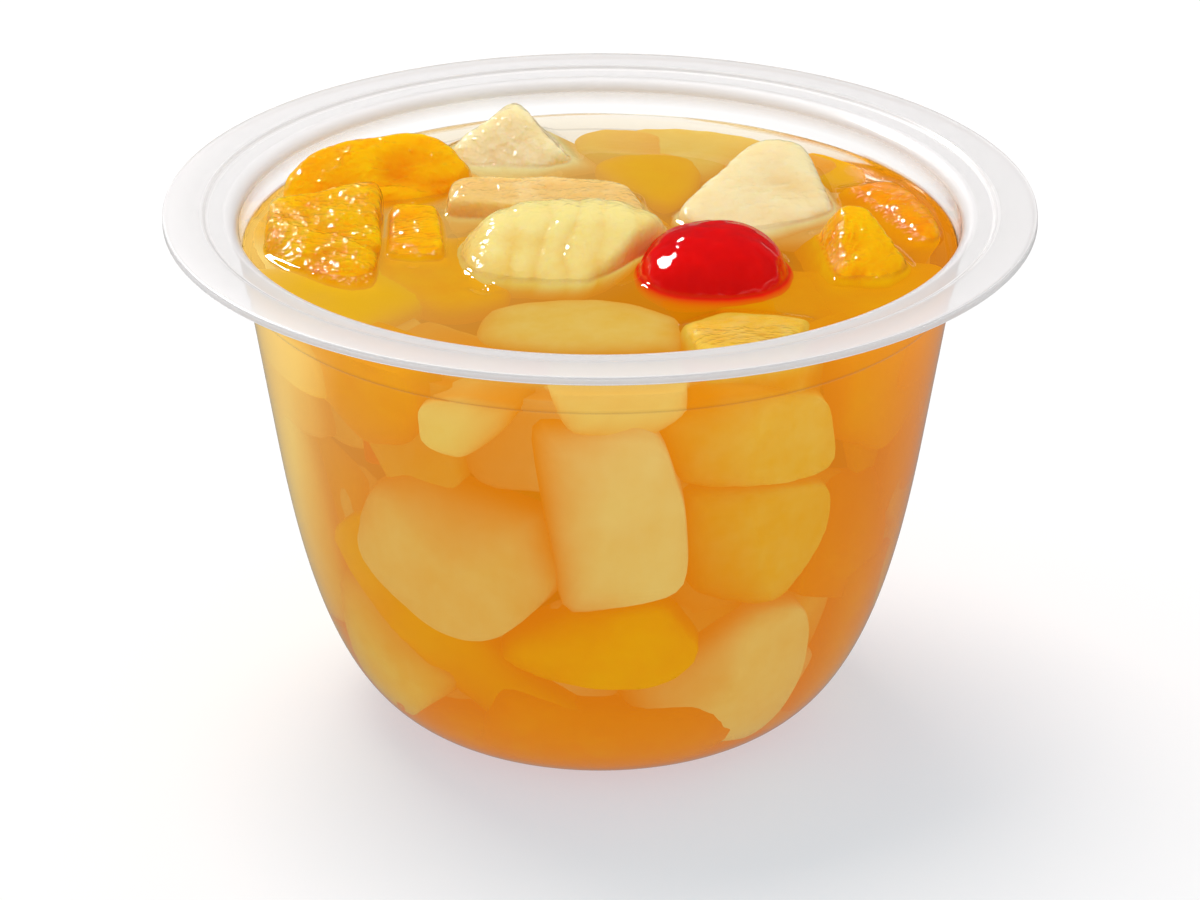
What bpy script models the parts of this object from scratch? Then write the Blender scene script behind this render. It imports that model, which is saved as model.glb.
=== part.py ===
"""A fruit cup: a clear formed cup, the syrup it holds, and the pieces of fruit that stand out of the syrup.

The cup stands on the XY plane with its axis on Z. The syrup is cloudy, so it is one closed body, and the
fruit that lies wholly under it isn't modelled.
"""

import math

import bmesh
import bpy
import numpy as np
from mathutils import Vector

MM = 0.001

# The cup.
HEIGHT = 58.9 * MM
RIM_RADIUS = 48.0 * MM
BASE_RADIUS = 21.6 * MM
WALL = 0.45 * MM
SEGMENTS = 56
SHARP_ANGLE = math.radians(30)

# Its bowl: a swelling curve from the base up to the shoulder, then a straight taper.
BASE_ANGLE = math.radians(21)
BASE_HANDLE = 11.2 * MM
SHOULDER_RADIUS = 36.9 * MM
SHOULDER_HEIGHT = 37.6 * MM
SHOULDER_HANDLE = 12.4 * MM
TAPER = math.radians(9.0)
CURVE_STEPS = 8

# A stacking step in the wall below the rim.
STEP_DROP = 8.0 * MM
STEP_OUT = 0.25 * MM
STEP_TALL = 0.5 * MM

# The rim: a flat sealing ring with a turned-down lip outside, and a lower ledge that rolls into the wall.
RING_INNER_RADIUS = 43.75 * MM
RING_THICK = 0.5 * MM
LEDGE_DROP = 0.4 * MM
LEDGE_SLOPE = 0.55 * MM
LEDGE_ROUND = 1.8 * MM
LIP_WIDE = 0.5 * MM
LIP_TALL = 0.95 * MM
LIP_ROUND = 0.25 * MM
LEDGE_STEPS = 4
LIP_STEPS = 3

# The syrup.
LEVEL = 53.6 * MM
GAP = 0.3 * MM

# The fruit, each kind with its colour and roughness.
PEACH = ("peach", (0.95, 0.47, 0.02), 0.30)
PEAR = ("pear", (0.86, 0.72, 0.42), 0.35)
PINEAPPLE = ("pineapple", (0.88, 0.74, 0.26), 0.35)
CHERRY = ("cherry", (0.70, 0.01, 0.02), 0.15)
BLANK = 80.0 * MM
BALL_RINGS = 8
SKIN_RINGS = 20
SOFTENED_ANGLE = math.radians(28)
WELD = 0.001 * MM
CUT_WELD = 0.05 * MM

# Each piece of fruit that stands out of the syrup, in millimetres and degrees. A cut is the azimuth and
# elevation that it faces, and its distance from the piece's centre. A skin has its ball's radius as well.
FRUIT = {
    "peach_slice_back_left": {
        "kind": PEACH,
        "centre": (-25.5, 16.8, 52.0),
        "skin": (112, 15, 7.4, 30.0),
        "cuts": [(285, 66, 3.6), (292, -5, 5.6), (203, 32, 12.7), (195, -11, 11.4), (162, -12, 8.2),
                 (147, -12, 7.4), (132, -12, 7.6), (12, 42, 10.7), (37, 0, 11.4), (325, -5, 8.0),
                 (0, -90, 4.5)],
        "soft": 1.2,
    },
    "peach_chunk_left": {
        "kind": PEACH,
        "centre": (-30.5, -1.5, 51.5),
        "cuts": [(270, 78, 4.3), (0, 0, 6.2), (112, 0, 9.0), (180, 10, 7.0), (190, -20, 5.5),
                 (221, 32, 5.7), (235, -10, 8.0), (285, 0, 11.5), (0, -90, 4.5)],
        "soft": 1.1,
    },
    "peach_chunk_small": {
        "kind": PEACH,
        "centre": (-20.4, 3.4, 50.0),
        "cuts": [(250, 86, 4.4), (5, 0, 2.8), (90, 0, 7.4), (180, 0, 3.1), (265, 0, 7.0), (0, -90, 4.0)],
        "soft": 0.8,
    },
    "pear_chunk_back": {
        "kind": PEAR,
        "centre": (-9.8, 28.5, 52.5),
        "cuts": [(262, 52, 3.9), (20, 38, 5.1), (148, 40, 5.9), (0, 90, 6.1), (108, -12, 6.0),
                 (217, 0, 7.4), (300, 0, 6.0), (0, -90, 4.0)],
        "soft": 0.9,
    },
    "pear_slab_middle": {
        "kind": PEAR,
        "centre": (-6.5, 11.8, 51.5),
        "cuts": [(292, 84, 4.4), (267, 2, 4.0), (92, 20, 5.0), (60, 20, 8.2), (185, -4, 10.6),
                 (145, -5, 9.5), (10, 15, 11.3), (0, -90, 4.5)],
        "soft": 1.0,
    },
    "pineapple_tidbit": {
        "kind": PINEAPPLE,
        "centre": (-3.0, -2.2, 51.0),
        "round": (12.7, 11.2, 8.6),
        "cuts": [(270, 70, 5.9), (92, 0, 8.3), (0, 90, 7.3), (325, 0, 6.7), (265, 0, 9.8), (0, -90, 4.0)],
        "soft": 1.4,
    },
    "pear_chunk_right": {
        "kind": PEAR,
        "centre": (18.0, 12.5, 51.5),
        "cuts": [(287, 75, 4.4), (150, 19, 6.9), (9, 25, 8.5), (10, 0, 8.6), (95, 15, 11.2),
                 (52, 5, 14.5), (311, 5, 7.8), (303, 0, 8.5), (262, 0, 9.4), (215, 0, 10.4),
                 (0, -90, 5.0)],
        "soft": 0.8,
    },
    "cherry_half": {
        "kind": CHERRY,
        "centre": (12.4, -7.2, 52.0),
        "round": (8.1, 8.1, 6.5),
        "cuts": [(0, -90, 4.0)],
        "soft": 0.8,
    },
    "peach_chunk_right": {
        "kind": PEACH,
        "centre": (28.2, -3.0, 51.5),
        "cuts": [(280, 74, 4.4), (22, 15, 4.7), (27, -5, 4.5), (100, 15, 7.6), (123, 0, 9.3),
                 (188, 30, 4.2), (262, 10, 7.5), (330, 0, 6.6), (0, -90, 4.5)],
        "soft": 1.0,
    },
    "peach_slice_far_right": {
        "kind": PEACH,
        "centre": (31.4, 9.2, 50.4),
        "skin": (15, -14, 4.8, 32.0),
        "cuts": [(205, 62, 2.9), (0, 90, 4.3), (207, 0, 3.2), (190, 0, 3.5), (110, 5, 9.0),
                 (292, 5, 10.0), (0, -90, 4.0)],
        "soft": 0.9,
    },
    "pineapple_front": {
        "kind": PINEAPPLE,
        "centre": (15.6, -24.7, 50.0),
        "cuts": [(100, 82, 4.3), (75, 0, 5.6), (350, 5, 6.2), (190, 10, 6.8), (275, 0, 6.5),
                 (130, 0, 6.3), (0, -90, 3.2)],
        "soft": 0.9,
    },
}


def finish(name, colour, roughness, alpha=1.0):
    """Return the named material, made once."""
    material = bpy.data.materials.get(name)
    if material is None:
        material = bpy.data.materials.new(name)
        material.use_nodes = True
        shader = material.node_tree.nodes["Principled BSDF"]
        shader.inputs["Base Color"].default_value = (*colour, 1.0)
        shader.inputs["Roughness"].default_value = roughness
        shader.inputs["Metallic"].default_value = 0.0
        shader.inputs["Alpha"].default_value = alpha
    return material


def make_object(name, bm, material):
    """Turn a bmesh into a smooth-shaded object with its faces pointing out."""
    bmesh.ops.recalc_face_normals(bm, faces=bm.faces)
    mesh = bpy.data.meshes.new(name)
    bm.to_mesh(mesh)
    bm.free()
    mesh.shade_smooth()
    mesh.set_sharp_from_angle(angle=SHARP_ANGLE)
    mesh.materials.append(material)
    result = bpy.data.objects.new(name, mesh)
    bpy.context.scene.collection.objects.link(result)
    return result


def turned(name, profile, material):
    """Spin a profile of (radius, height) points, which starts and ends on the axis, into a solid."""
    bm = bmesh.new()
    verts = [bm.verts.new((radius, 0.0, height)) for radius, height in profile]
    edges = [bm.edges.new(pair) for pair in zip(verts, verts[1:])]
    bmesh.ops.spin(bm, geom=verts + edges, axis=(0, 0, 1), cent=(0, 0, 0), steps=SEGMENTS, angle=math.tau)
    bmesh.ops.remove_doubles(bm, verts=bm.verts, dist=WELD)
    return make_object(name, bm, material)


def wall_line(inset, top):
    """Points up the wall from its foot to a height, moved in by an inset square to the wall's outside."""
    foot = np.array([BASE_RADIUS, 0.0])
    shoulder = np.array([SHOULDER_RADIUS, SHOULDER_HEIGHT])
    start = foot + BASE_HANDLE * np.array([math.cos(BASE_ANGLE), math.sin(BASE_ANGLE)])
    end = shoulder - SHOULDER_HANDLE * np.array([math.sin(TAPER), math.cos(TAPER)])
    t = np.linspace(0.0, 1.0, CURVE_STEPS)[:, None]
    curve = (1 - t) ** 3 * foot + 3 * t * (1 - t) ** 2 * start + 3 * t**2 * (1 - t) * end + t**3 * shoulder
    along = (1 - t) ** 2 * (start - foot) + 2 * t * (1 - t) * (end - start) + t**2 * (shoulder - end)
    along /= np.linalg.norm(along, axis=1)[:, None]
    curve -= inset * along[:, ::-1] * (1, -1)

    step = HEIGHT - STEP_DROP
    heights = np.array([step - STEP_TALL / 2, step + STEP_TALL / 2, top])
    radii = SHOULDER_RADIUS + (heights - SHOULDER_HEIGHT) * math.tan(TAPER) - inset / math.cos(TAPER)
    radii[1:] += STEP_OUT
    return np.vstack([curve, np.column_stack([radii, heights])])


def arc(centre, radius, start, end, count):
    """Points along an arc, with its angles in degrees from the +radius direction."""
    angles = np.radians(np.linspace(start, end, count))
    return np.array(centre) + radius * np.column_stack([np.cos(angles), np.sin(angles)])


def make_cup():
    """The formed cup: one thin sheet from the base up the wall and out over the rim."""
    roll_height = HEIGHT - LEDGE_DROP - LEDGE_ROUND
    outside = wall_line(0.0, roll_height)
    inside = wall_line(WALL, roll_height)
    roll_centre = (inside[-1][0] + LEDGE_ROUND, roll_height)
    under = HEIGHT - RING_THICK
    slope_foot = RING_INNER_RADIUS - LEDGE_SLOPE
    profile = np.vstack([
        (0.0, 0.0),
        outside[:-1],
        arc(roll_centre, LEDGE_ROUND - WALL, 180, 90, LEDGE_STEPS),
        (slope_foot, HEIGHT - LEDGE_DROP - WALL),
        (RING_INNER_RADIUS, under),
        (RIM_RADIUS - LIP_WIDE, under),
        (RIM_RADIUS - LIP_WIDE, HEIGHT - LIP_TALL),
        (RIM_RADIUS, HEIGHT - LIP_TALL),
        arc((RIM_RADIUS - LIP_ROUND, HEIGHT - LIP_ROUND), LIP_ROUND, 0, 90, LIP_STEPS),
        (RING_INNER_RADIUS, HEIGHT),
        (slope_foot, HEIGHT - LEDGE_DROP),
        arc(roll_centre, LEDGE_ROUND, 90, 180, LEDGE_STEPS),
        inside[-2::-1],
        (0.0, inside[0][1]),
    ])
    return turned("cup", profile, finish("clear_plastic", (0.93, 0.93, 0.94), 0.08, alpha=0.3))


def direction(azimuth, elevation):
    """The unit vector at an azimuth, from +X towards +Y, and an elevation, both in degrees."""
    azimuth = math.radians(azimuth)
    elevation = math.radians(elevation)
    level = math.cos(elevation)
    return Vector((level * math.cos(azimuth), level * math.sin(azimuth), math.sin(elevation)))


def ball(bm, centre, radii, rings):
    """Add a ball, or an egg shape where the three radii differ."""
    sphere = bmesh.ops.create_uvsphere(bm, u_segments=2 * rings, v_segments=rings, radius=1.0)
    for vert in sphere["verts"]:
        vert.co = Vector(centre) + Vector([a * r for a, r in zip(vert.co, radii)])


def knife(bm, centre, cut, grow):
    """Cut away what lies beyond one flat knife cut, and close the face that it leaves."""
    azimuth, elevation, distance = cut
    facing = direction(azimuth, elevation)
    plane = centre + facing * (distance * MM + grow)
    geometry = bm.verts[:] + bm.edges[:] + bm.faces[:]
    bmesh.ops.bisect_plane(
        bm, geom=geometry, dist=WELD, plane_co=plane, plane_no=facing, clear_outer=True
    )
    rim = [edge for edge in bm.edges if edge.is_boundary]
    if rim:
        bmesh.ops.contextual_create(bm, geom=rim)


def fruit_piece(name, fruit, grow=0.0, edge_steps=2):
    """A piece of fruit: a blank of flesh with its skin side round, trimmed by flat cuts, its edges softened.

    With grow, the piece is that much larger all round.
    """
    centre = Vector(fruit["centre"]) * MM
    bm = bmesh.new()
    if "round" in fruit:
        ball(bm, centre, [radius * MM + grow for radius in fruit["round"]], BALL_RINGS)
    elif "skin" in fruit:
        azimuth, elevation, distance, radius = fruit["skin"]
        middle = centre + direction(azimuth, elevation) * (distance - radius) * MM
        ball(bm, middle, [radius * MM + grow] * 3, SKIN_RINGS)
    else:
        bmesh.ops.create_cube(bm, size=BLANK)
        bmesh.ops.translate(bm, verts=bm.verts, vec=centre)
    for cut in fruit["cuts"]:
        knife(bm, centre, cut, grow)
    bmesh.ops.remove_doubles(bm, verts=bm.verts, dist=CUT_WELD)
    piece = make_object(name, bm, finish(*fruit["kind"]))

    edge = piece.modifiers.new("soft edges", "BEVEL")
    edge.width = fruit["soft"] * MM * edge_steps / 2
    edge.segments = edge_steps
    edge.limit_method = "ANGLE"
    edge.angle_limit = SOFTENED_ANGLE
    return piece


def make_syrup():
    """The syrup: it fills the cup to its level, with a hollow for each piece of fruit that stands in it."""
    side = wall_line(WALL + GAP, LEVEL)
    profile = np.vstack([(0.0, side[0][1]), side, (0.0, LEVEL)])
    syrup = turned("syrup", profile, finish("syrup", (0.93, 0.52, 0.10), 0.05))
    hollows = bpy.data.collections.new("hollows")
    for name, fruit in FRUIT.items():
        hollow = fruit_piece(name + ".hollow", fruit, grow=GAP, edge_steps=1)
        hollow.hide_render = True
        hollow.display_type = "WIRE"
        hollows.objects.link(hollow)
    cut = syrup.modifiers.new("hollows", "BOOLEAN")
    cut.operation = "DIFFERENCE"
    cut.solver = "EXACT"
    cut.operand_type = "COLLECTION"
    cut.collection = hollows
    return syrup


for old in list(bpy.data.objects):
    bpy.data.objects.remove(old, do_unlink=True)
make_cup()
make_syrup()
for fruit_name, fruit_values in FRUIT.items():
    fruit_piece(fruit_name, fruit_values)
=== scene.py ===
"""A fruit cup: peach, pear, pineapple and half a cherry in syrup, in a clear formed cup with a flat rim."""

import math

import bpy
import numpy as np
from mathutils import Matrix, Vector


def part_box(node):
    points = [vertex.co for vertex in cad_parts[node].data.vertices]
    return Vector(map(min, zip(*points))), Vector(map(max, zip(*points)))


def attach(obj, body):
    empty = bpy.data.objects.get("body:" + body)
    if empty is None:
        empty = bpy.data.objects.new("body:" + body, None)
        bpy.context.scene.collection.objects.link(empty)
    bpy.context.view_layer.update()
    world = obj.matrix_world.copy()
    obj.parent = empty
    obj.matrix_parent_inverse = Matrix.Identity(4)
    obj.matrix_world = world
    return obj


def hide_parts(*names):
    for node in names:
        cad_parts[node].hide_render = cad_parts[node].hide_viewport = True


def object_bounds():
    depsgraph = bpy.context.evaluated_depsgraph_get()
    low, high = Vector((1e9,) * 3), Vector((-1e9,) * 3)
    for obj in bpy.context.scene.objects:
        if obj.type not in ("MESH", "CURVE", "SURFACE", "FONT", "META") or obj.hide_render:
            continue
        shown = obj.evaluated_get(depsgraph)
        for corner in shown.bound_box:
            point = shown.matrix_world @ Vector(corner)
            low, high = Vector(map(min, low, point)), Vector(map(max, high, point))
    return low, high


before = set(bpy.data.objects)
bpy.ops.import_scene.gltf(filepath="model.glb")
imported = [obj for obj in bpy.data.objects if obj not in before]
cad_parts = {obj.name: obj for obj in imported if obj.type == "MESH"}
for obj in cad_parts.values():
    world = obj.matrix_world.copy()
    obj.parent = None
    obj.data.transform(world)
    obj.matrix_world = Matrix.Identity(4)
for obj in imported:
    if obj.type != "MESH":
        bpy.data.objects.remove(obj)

cad_low, cad_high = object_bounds()

# ----------------------------------------------------------------------------------------------------------
# The cup stands on a pale sweep of card in a bright room. A broad light hangs over it, a little behind. A
# soft box behind its left shoulder and a small one low behind it only make the glints.

MM = 0.001
CAMERA_HEIGHT = 24.33
CAMERA_DISTANCE = 0.600
CAMERA_LENS = 160.49
LAMP_DISTANCE = 0.80
BROAD_LIGHT = ((-0.20, 0.36, 0.91), 0.45, 4.4)
SOFT_BOX = ((-0.685, 0.355, 0.636), 0.22, 4.0)
SMALL_BOX = ((-0.34, 0.70, 0.63), 0.07, 2.4)
ROOM = (0.62, 0.62, 0.625)
ROOM_IN_GLOSS = (0.05, 0.05, 0.052)
CARD = (0.605, 0.505, 0.440)
CARD_GLOW = (0.305, 0.425, 0.505)
CARD_IN_GLOSS = (0.30, 0.30, 0.30)

middle = (cad_low.z + cad_high.z) / 2 - 0.325 * MM
tilt = math.radians(CAMERA_HEIGHT)
camera_data = bpy.data.cameras.new("camera")
camera_data.sensor_width = 36.0
camera_data.lens = CAMERA_LENS
camera_data.clip_start = 0.01
camera = bpy.data.objects.new("camera", camera_data)
camera.location = (0.0, -CAMERA_DISTANCE * math.cos(tilt), middle + CAMERA_DISTANCE * math.sin(tilt))
camera.rotation_euler = (math.pi / 2 - tilt, 0.0, 0.0)
bpy.context.scene.collection.objects.link(camera)
bpy.context.scene.camera = camera
bpy.context.scene.view_settings.view_transform = "Standard"

for name, (start, size, power) in (
        ("broad_light", BROAD_LIGHT), ("soft_box", SOFT_BOX), ("small_box", SMALL_BOX)):
    lamp_data = bpy.data.lights.new(name, "AREA")
    lamp_data.shape = "SQUARE"
    lamp_data.size = size
    lamp_data.energy = power
    lamp = bpy.data.objects.new(name, lamp_data)
    lamp.location = np.array(start) * LAMP_DISTANCE
    lamp.rotation_euler = lamp.location.to_track_quat("Z", "Y").to_euler()
    lamp.visible_diffuse = name == "broad_light"
    lamp.visible_glossy = name != "broad_light"
    bpy.context.scene.collection.objects.link(lamp)


def in_mirror(tree):
    """1 for light that has been mirrored on its way, and 0 for all other light."""
    path = tree.nodes.new("ShaderNodeLightPath")
    share = tree.nodes.new("ShaderNodeMath")
    share.operation = "MINIMUM"
    tree.links.new(path.outputs["Glossy Depth"], share.inputs[0])
    share.inputs[1].default_value = 1.0
    return share.outputs[0]


room = bpy.data.worlds.new("room")
room.use_nodes = True
shade = room.node_tree.nodes.new("ShaderNodeMix")
shade.data_type = "RGBA"
shade.inputs[6].default_value = (*ROOM, 1.0)
shade.inputs[7].default_value = (*ROOM_IN_GLOSS, 1.0)
room.node_tree.links.new(in_mirror(room.node_tree), shade.inputs[0])
room.node_tree.links.new(shade.outputs[2], room.node_tree.nodes["Background"].inputs["Color"])
bpy.context.scene.world = room

CARD_HALF = 3.0
corners = [(x * CARD_HALF, y * CARD_HALF, 0.0) for x, y in ((-1, -1), (1, -1), (1, 1), (-1, 1))]
card_data = bpy.data.meshes.new("card")
card_data.from_pydata(corners, [], [(0, 1, 2, 3)])
card = bpy.data.objects.new("card", card_data)
bpy.context.scene.collection.objects.link(card)
card_finish = bpy.data.materials.new("card")
card_finish.use_nodes = True
tree = card_finish.node_tree
card_shader = tree.nodes["Principled BSDF"]
card_shader.inputs["Base Color"].default_value = (*CARD, 1.0)
card_shader.inputs["Roughness"].default_value = 0.9
card_shader.inputs["Specular IOR Level"].default_value = 0.0
card_shader.inputs["Emission Color"].default_value = (*CARD_GLOW, 1.0)
card_shader.inputs["Emission Strength"].default_value = 1.0
# Painted reflection: in a mirrored path the card shows a flat grey in place of its own look, so that it leaves
# no white sheen on the wet fruit.
grey = tree.nodes.new("ShaderNodeEmission")
grey.inputs["Color"].default_value = (*CARD_IN_GLOSS, 1.0)
quiet = tree.nodes.new("ShaderNodeMixShader")
tree.links.new(in_mirror(tree), quiet.inputs[0])
tree.links.new(card_shader.outputs[0], quiet.inputs[1])
tree.links.new(grey.outputs[0], quiet.inputs[2])
tree.links.new(quiet.outputs[0], tree.nodes["Material Output"].inputs["Surface"])
card_data.materials.append(card_finish)


# ----------------------------------------------------------------------------------------------------------
# The cup: one sheet of clear plastic drawn over a former. The wall swells from a flat base to a straight
# taper with a stacking step, rolls out into a lower ledge, and ends in a flat sealing ring with a small lip.

CUP_LOW, CUP_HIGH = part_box("cup")
HEIGHT = (CUP_HIGH.z - CUP_LOW.z) / MM
RIM_RADIUS = (CUP_HIGH.x - CUP_LOW.x) / 2 / MM
WALL = 0.45
BASE_RADIUS = 21.6
BASE_ANGLE = math.radians(21)
BASE_HANDLE = 11.2
SHOULDER = np.array([36.9, 37.6])
SHOULDER_HANDLE = 12.4
TAPER = math.radians(9.0)
STEP_HEIGHT = HEIGHT - 8.0
STEP_OUT = 0.25
STEP_TALL = 0.5
LEDGE_HEIGHT = HEIGHT - 0.4
LEDGE_ROUND = 1.8
RING_INNER_RADIUS = 43.75
RING_THICK = 0.5
LIP_WIDE = 0.5
LIP_TALL = 0.95
CUP_TURNS = 256


def wall_line(inset, top):
    """Radius and height up the wall, in millimetres: a Bezier curve from the foot to the shoulder, moved in
    by the inset square to itself, then the straight taper with a smooth step in it."""
    foot = np.array([BASE_RADIUS, 0.0])
    start = foot + BASE_HANDLE * np.array([math.cos(BASE_ANGLE), math.sin(BASE_ANGLE)])
    end = SHOULDER - SHOULDER_HANDLE * np.array([math.sin(TAPER), math.cos(TAPER)])
    t = np.linspace(0.0, 1.0, 40)[:, None]
    curve = (1 - t) ** 3 * foot + 3 * t * (1 - t) ** 2 * start + 3 * t**2 * (1 - t) * end + t**3 * SHOULDER
    along = (1 - t) ** 2 * (start - foot) + 2 * t * (1 - t) * (end - start) + t**2 * (SHOULDER - end)
    along /= np.linalg.norm(along, axis=1)[:, None]
    curve -= inset * along[:, ::-1] * (1, -1)
    below = np.linspace(SHOULDER[1] + 1.0, STEP_HEIGHT - STEP_TALL, 12)
    through = STEP_HEIGHT + STEP_TALL * np.linspace(-0.5, 0.5, 9)
    above = np.linspace(STEP_HEIGHT + STEP_TALL, top, 10)
    heights = np.concatenate([below, through, above])
    rise = np.clip((heights - STEP_HEIGHT) / STEP_TALL + 0.5, 0.0, 1.0)
    radii = SHOULDER[0] + (heights - SHOULDER[1]) * math.tan(TAPER) - inset / math.cos(TAPER)
    radii += STEP_OUT * rise**2 * (3 - 2 * rise)
    return np.vstack([curve, np.column_stack([radii, heights])])


def arc(centre, radius, start, end, count):
    """Points along an arc, its angles in degrees from the outward direction."""
    angles = np.radians(np.linspace(start, end, count))
    return np.array(centre) + radius * np.column_stack([np.cos(angles), np.sin(angles)])


def soften(corners, cut, count=5):
    """Round a line's corners: each inner point gives way to a quadratic curve between the points that lie
    the cut's length, or a little under half a side, before and after it."""
    corners = np.asarray(corners, float)
    before, at, after = corners[:-2], corners[1:-1], corners[2:]
    back, on = before - at, after - at
    back_length = np.linalg.norm(back, axis=1)[:, None]
    on_length = np.linalg.norm(on, axis=1)[:, None]
    start = at + back / back_length * np.minimum(cut, 0.45 * back_length)
    end = at + on / on_length * np.minimum(cut, 0.45 * on_length)
    t = np.linspace(0.0, 1.0, count)[None, :, None]
    curves = (1 - t) ** 2 * start[:, None] + 2 * t * (1 - t) * at[:, None] + t**2 * end[:, None]
    return np.vstack([corners[:1], curves.reshape(-1, 2), corners[-1:]])


def turned(line, turns):
    """Points and faces of a line of (radius, height), both ends on the axis, carried round the axis: a grid
    of turns by points between two poles, each pole one point with a fan of triangles."""
    angles = np.linspace(0.0, math.tau, turns, endpoint=False)[:, None]
    inner = line[1:-1]
    radii, heights = inner[None, :, 0], inner[None, :, 1]
    grid = np.stack(np.broadcast_arrays(radii * np.cos(angles), radii * np.sin(angles), heights), -1)
    points = np.vstack([grid.reshape(-1, 3), (0.0, 0.0, line[0][1]), (0.0, 0.0, line[-1][1])])
    index = np.arange(turns * len(inner)).reshape(turns, len(inner))
    beside = np.roll(index, -1, axis=0)
    quads = np.stack([index[:, :-1], beside[:, :-1], beside[:, 1:], index[:, 1:]], -1).reshape(-1, 4)
    first, last = len(points) - 2, len(points) - 1
    start_fan = np.column_stack([np.full(turns, first), beside[:, 0], index[:, 0]])
    end_fan = np.column_stack([np.full(turns, last), index[:, -1], beside[:, -1]])
    return points, quads.tolist() + start_fan.tolist() + end_fan.tolist()


def lay_mesh(name, points, faces, finish, stands_for=(), measures=None, sharp=None):
    """A finished piece from points in millimetres and faces: its material, body, replaced nodes, and a number at
    each point for each named measure."""
    mesh = bpy.data.meshes.new(name)
    mesh.from_pydata((np.asarray(points) * MM).tolist(), [], faces)
    for measure, values in (measures or {}).items():
        attribute = mesh.attributes.new(measure, "FLOAT", "POINT")
        attribute.data.foreach_set("value", np.asarray(values, np.float32))
    mesh.shade_smooth()
    if sharp:
        mesh.set_sharp_from_angle(angle=math.radians(sharp))
    mesh.materials.append(finish)
    piece = bpy.data.objects.new(name, mesh)
    bpy.context.scene.collection.objects.link(piece)
    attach(piece, "root")
    for node in stands_for:
        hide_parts(node)
    return piece


class Value:
    """A shader value. Python's arithmetic on it adds Math nodes, so 1 - mask and tone * 0.5 work."""

    def __init__(self, finish, socket):
        self.finish = finish
        self.socket = socket

    def math(self, operation, *others):
        return self.finish.add("Math", dict(enumerate((self, *others))), operation=operation)

    def __add__(self, other):
        return self.math("ADD", other)

    def __sub__(self, other):
        return self.math("SUBTRACT", other)

    def __rsub__(self, other):
        return self.finish.add("Math", {0: other, 1: self}, operation="SUBTRACT")

    def __mul__(self, other):
        return self.math("MULTIPLY", other)

    def __pow__(self, other):
        return self.math("POWER", other)

    __radd__ = __add__
    __rmul__ = __mul__


class Finish:
    """A material made of nodes, which add() puts in one at a time."""

    def __init__(self, name):
        self.material = bpy.data.materials.new(name)
        self.material.use_nodes = True
        self.tree = self.material.node_tree
        self.tree.nodes.clear()

    def add(self, kind, inputs=None, out=0, **settings):
        """Add a node: its settings first, then its inputs' values or links."""
        node = self.tree.nodes.new("ShaderNode" + kind)
        for setting, value in settings.items():
            setattr(node, setting, value)
        for key, value in (inputs or {}).items():
            if isinstance(value, Value):
                self.tree.links.new(value.socket, node.inputs[key])
            elif isinstance(value, tuple) and len(value) == 3 and node.inputs[key].type == "RGBA":
                node.inputs[key].default_value = (*value, 1.0)
            else:
                node.inputs[key].default_value = value
        return Value(self, node.outputs[out])

    def blend(self, share, first, second):
        """A colour that goes from the first to the second as the share goes from 0 to 1."""
        return self.add("Mix", {0: share, 6: first, 7: second}, out=2, data_type="RGBA")

    def scale(self, colour, factor):
        """A colour times a number."""
        return self.add("VectorMath", {0: colour, "Scale": factor}, operation="SCALE")

    def noise(self, size, place=None, detail=2.0, roughness=0.5):
        """Smooth noise from 0 to 1 with lumps of about a size in millimetres."""
        place = place or self.place()
        inputs = {"Vector": place, "Scale": 1.0 / (size * MM), "Detail": detail, "Roughness": roughness}
        return self.add("TexNoise", inputs, noise_dimensions="3D")

    def place(self, stretch=None):
        """The point on the piece, in metres, with each axis multiplied by a stretch where one is given."""
        at = self.add("TexCoord", out="Object")
        if stretch is None:
            return at
        return self.add("VectorMath", {0: at, 1: stretch}, operation="MULTIPLY")

    def measure(self, name):
        """A number that the mesh carries at each point."""
        return self.add("Attribute", out="Fac", attribute_name=name)

    def close(self, shader):
        """Send the shader to the output and return the material."""
        end = self.tree.nodes.new("ShaderNodeOutputMaterial")
        self.tree.links.new(shader.socket, end.inputs["Surface"])
        return self.material

    def lit_through(self, shader, tint):
        """The shader, with a tinted gap in its place for rays on their way to a light, so that light reaches
        what is inside."""
        path = self.add("LightPath", out="Is Shadow Ray")
        bounce = self.add("LightPath", out="Is Diffuse Ray")
        gap = self.add("BsdfTransparent", {"Color": tint})
        return self.add("MixShader", {0: path.math("MAXIMUM", bounce), 1: shader, 2: gap})


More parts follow.
